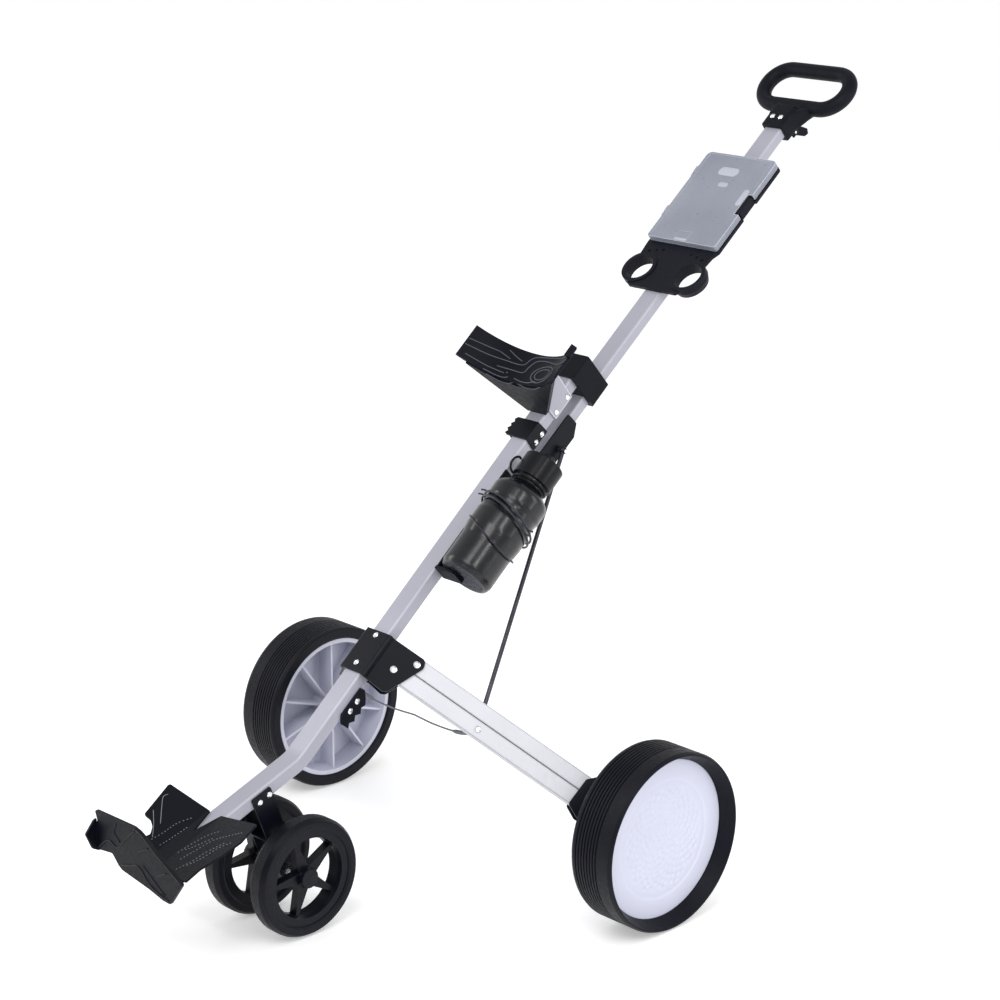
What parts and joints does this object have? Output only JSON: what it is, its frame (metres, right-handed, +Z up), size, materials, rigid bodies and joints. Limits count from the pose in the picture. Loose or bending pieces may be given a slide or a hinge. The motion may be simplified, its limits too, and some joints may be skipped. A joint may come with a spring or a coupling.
{
  "type": "golf push trolley",
  "caption": "Folding golf push trolley: inclined tube frame with two spoked-out legs and wheels, small front wheels, bag cradle, toe rest, bottle and scorecard holder.",
  "frame": {"origin": "centre of the bounding box at floor level, wheels standing on z = 0", "axes": "+X to the pusher's left (the bottle's side), -Y to the front where the bag foot is, +Z up"},
  "size_m": [0.7416, 1.2873, 1.0252],
  "materials": {
    "silver_tube": "anodised satin silver",
    "white_steel": "satin silver-white powder coat",
    "bracket_black": "satin blue-black powder coat",
    "bright_steel": "bright steel",
    "grey_plastic": "black moulded nylon",
    "black_plastic": "black moulded plastic",
    "handle_grip": "soft black grip over a nylon core",
    "tyre_rubber": "solid black tyre",
    "wheel_white": "white-lavender moulded plastic",
    "rim_black": "black moulded plastic",
    "rod_steel": "dark plated steel",
    "lid_clear": "translucent grey-white plastic",
    "bottle_black": "glossy black",
    "cap_black": "black, ribbed"
  },
  "bodies": {
    "frame": {"lower_tube": "silver_tube", "tube_foot_plug": "black_plastic", "tube_top_plug": "black_plastic", "guide_box": "black_plastic", "cradle": "black_plastic", "cradle_plates": "silver_tube", "strap_saddle": "bracket_black", "leg_bracket_front": "bracket_black", "leg_bracket_rear": "bracket_black", "near_leg_pins": "bright_steel", "far_leg_pins": "bright_steel", "lower_catch": "bracket_black", "footrest_wings": "black_plastic", "footrest_toe": "black_plastic", "front_wheel_bracket": "bracket_black", "front_axle": "bright_steel", "bottle_cage": "bracket_black", "cage_wire": "rod_steel", "frame_rivets": "bright_steel", "tie_wire": "rod_steel"},
    "mast": {"mast_tube": "silver_tube", "push_channel": "bracket_black", "rod_pin": "bright_steel", "handle_loop": "handle_grip", "handle_rivets": "bright_steel", "scorecard_base": "grey_plastic", "lid_hinge_pins": "bright_steel", "trigger_pin": "bright_steel"},
    "release_trigger_body": {"release_trigger": "black_plastic"},
    "lid_body": {"scorecard_lid": "lid_clear"},
    "clasp_body": {"lid_clasp": "grey_plastic"},
    "bottle_body": {"bottle": "bottle_black"},
    "cap_body": {"bottle_cap": "cap_black"},
    "near_front_leg": {"near_front_bar": "white_steel", "near_wire_bolt": "bright_steel"},
    "near_rear_leg": {"near_rear_bar": "white_steel"},
    "near_leg_end": {"near_knuckle": "bracket_black", "near_stub_axle": "bright_steel", "near_knuckle_pins": "bright_steel"},
    "near_wheel": {"near_tyre": "tyre_rubber", "near_hub": "wheel_white", "near_hub_cover": "wheel_white"},
    "near_rod": {"near_push_rod": "rod_steel"},
    "near_front_wheel": {"near_front_tyre": "tyre_rubber", "near_front_rim": "rim_black"},
    "far_front_leg": {"far_front_bar": "white_steel", "far_wire_bolt": "bright_steel"},
    "far_rear_leg": {"far_rear_bar": "white_steel"},
    "far_leg_end": {"far_knuckle": "bracket_black", "far_stub_axle": "bright_steel", "far_knuckle_pins": "bright_steel"},
    "far_wheel": {"far_tyre": "tyre_rubber", "far_hub": "wheel_white", "far_hub_cover": "wheel_white"},
    "far_rod": {"far_push_rod": "rod_steel"},
    "far_front_wheel": {"far_front_tyre": "tyre_rubber", "far_front_rim": "rim_black"}
  },
  "joints": [
    {"name": "mast_slide", "type": "slide", "parent": "frame", "child": "mast", "axis": [0, -0.7738, -0.6334], "range_m": [0, 0.0863]},
    {"name": "near_front_leg_hinge", "type": "hinge", "parent": "frame", "child": "near_front_leg", "pos_m": [0.03274, -0.23555, 0.31239], "axis": [-0.7071, 0.4592, -0.5377], "range_deg": [0, 70.2], "deforming": ["tie_wire"]},
    {"name": "near_rear_leg_hinge", "type": "hinge", "parent": "frame", "child": "near_rear_leg", "pos_m": [0.04794, -0.20819, 0.31576], "axis": [-0.7071, 0.4592, -0.5377], "range_deg": [0, 70.2]},
    {"name": "near_leg_end_hinge", "type": "hinge", "parent": "near_front_leg", "child": "near_leg_end", "pos_m": [0.25477, -0.09135, 0.14355], "axis": [-0.7071, 0.4592, -0.5377], "range_deg": [-70.2, 0]},
    {"name": "near_wheel_spin", "type": "hinge", "parent": "near_leg_end", "child": "near_wheel", "pos_m": [0.32, -0.0534, 0.12065], "axis": [1, 0, 0], "continuous": true},
    {"name": "near_rod_hinge", "type": "hinge", "parent": "mast", "child": "near_rod", "pos_m": [0.0238, 0.08637, 0.54868], "axis": [-0.7071, 0.4592, -0.5377], "range_deg": [0, 10.4]},
    {"name": "near_front_wheel_spin", "type": "hinge", "parent": "frame", "child": "near_front_wheel", "pos_m": [0.047, -0.4039, 0.0801], "axis": [1, 0, 0], "continuous": true},
    {"name": "far_front_leg_hinge", "type": "hinge", "parent": "frame", "child": "far_front_leg", "pos_m": [-0.03274, -0.23555, 0.31239], "axis": [-0.7071, -0.4592, 0.5377], "range_deg": [0, 70.2]},
    {"name": "far_rear_leg_hinge", "type": "hinge", "parent": "frame", "child": "far_rear_leg", "pos_m": [-0.04794, -0.20819, 0.31576], "axis": [-0.7071, -0.4592, 0.5377], "range_deg": [0, 70.2]},
    {"name": "far_leg_end_hinge", "type": "hinge", "parent": "far_front_leg", "child": "far_leg_end", "pos_m": [-0.25477, -0.09135, 0.14355], "axis": [-0.7071, -0.4592, 0.5377], "range_deg": [-70.2, 0]},
    {"name": "far_wheel_spin", "type": "hinge", "parent": "far_leg_end", "child": "far_wheel", "pos_m": [-0.32, -0.0534, 0.12065], "axis": [1, 0, 0], "continuous": true},
    {"name": "far_rod_hinge", "type": "hinge", "parent": "mast", "child": "far_rod", "pos_m": [-0.0238, 0.08637, 0.54868], "axis": [-0.7071, -0.4592, 0.5377], "range_deg": [0, 10.4]},
    {"name": "far_front_wheel_spin", "type": "hinge", "parent": "frame", "child": "far_front_wheel", "pos_m": [-0.047, -0.4039, 0.0801], "axis": [1, 0, 0], "continuous": true},
    {"name": "trigger_hinge", "type": "hinge", "parent": "mast", "child": "release_trigger_body", "pos_m": [0, 0.57114, 0.9337], "axis": [1, 0, 0], "range_deg": [0, 20], "stiffness_Nm_per_rad": 0.3, "springref_deg": -11.46},
    {"name": "lid_hinge", "type": "hinge", "parent": "mast", "child": "lid_body", "pos_m": [-0.0685, 0.4068, 0.84713], "axis": [0, -0.7738, -0.6334], "range_deg": [0, 150]},
    {"name": "clasp_hinge", "type": "hinge", "parent": "mast", "child": "clasp_body", "pos_m": [0.0637, 0.41049, 0.8442], "axis": [0, 0.7738, 0.6334], "range_deg": [0, 35], "stiffness_Nm_per_rad": 0.02, "springref_deg": -5.73},
    {"name": "bottle_lift", "type": "slide", "parent": "frame", "child": "bottle_body", "axis": [0, 0.7604, 0.6494], "range_m": [0, 0.1]},
    {"name": "cap_turn", "type": "hinge", "parent": "bottle_body", "child": "cap_body", "pos_m": [0.0603, 0.00749, 0.54442], "axis": [0, 0.7604, 0.6494], "continuous": true}
  ],
  "couplings": [
    {"joint": "near_front_leg_hinge", "follows": "mast_slide", "rad_per_m": 14.157},
    {"joint": "near_rear_leg_hinge", "follows": "mast_slide", "rad_per_m": 14.157},
    {"joint": "near_leg_end_hinge", "follows": "mast_slide", "rad_per_m": -14.157},
    {"joint": "near_rod_hinge", "follows": "mast_slide", "rad_per_m": 2.0927},
    {"joint": "far_front_leg_hinge", "follows": "mast_slide", "rad_per_m": 14.157},
    {"joint": "far_rear_leg_hinge", "follows": "mast_slide", "rad_per_m": 14.157},
    {"joint": "far_leg_end_hinge", "follows": "mast_slide", "rad_per_m": -14.157},
    {"joint": "far_rod_hinge", "follows": "mast_slide", "rad_per_m": 2.0927}
  ]
}
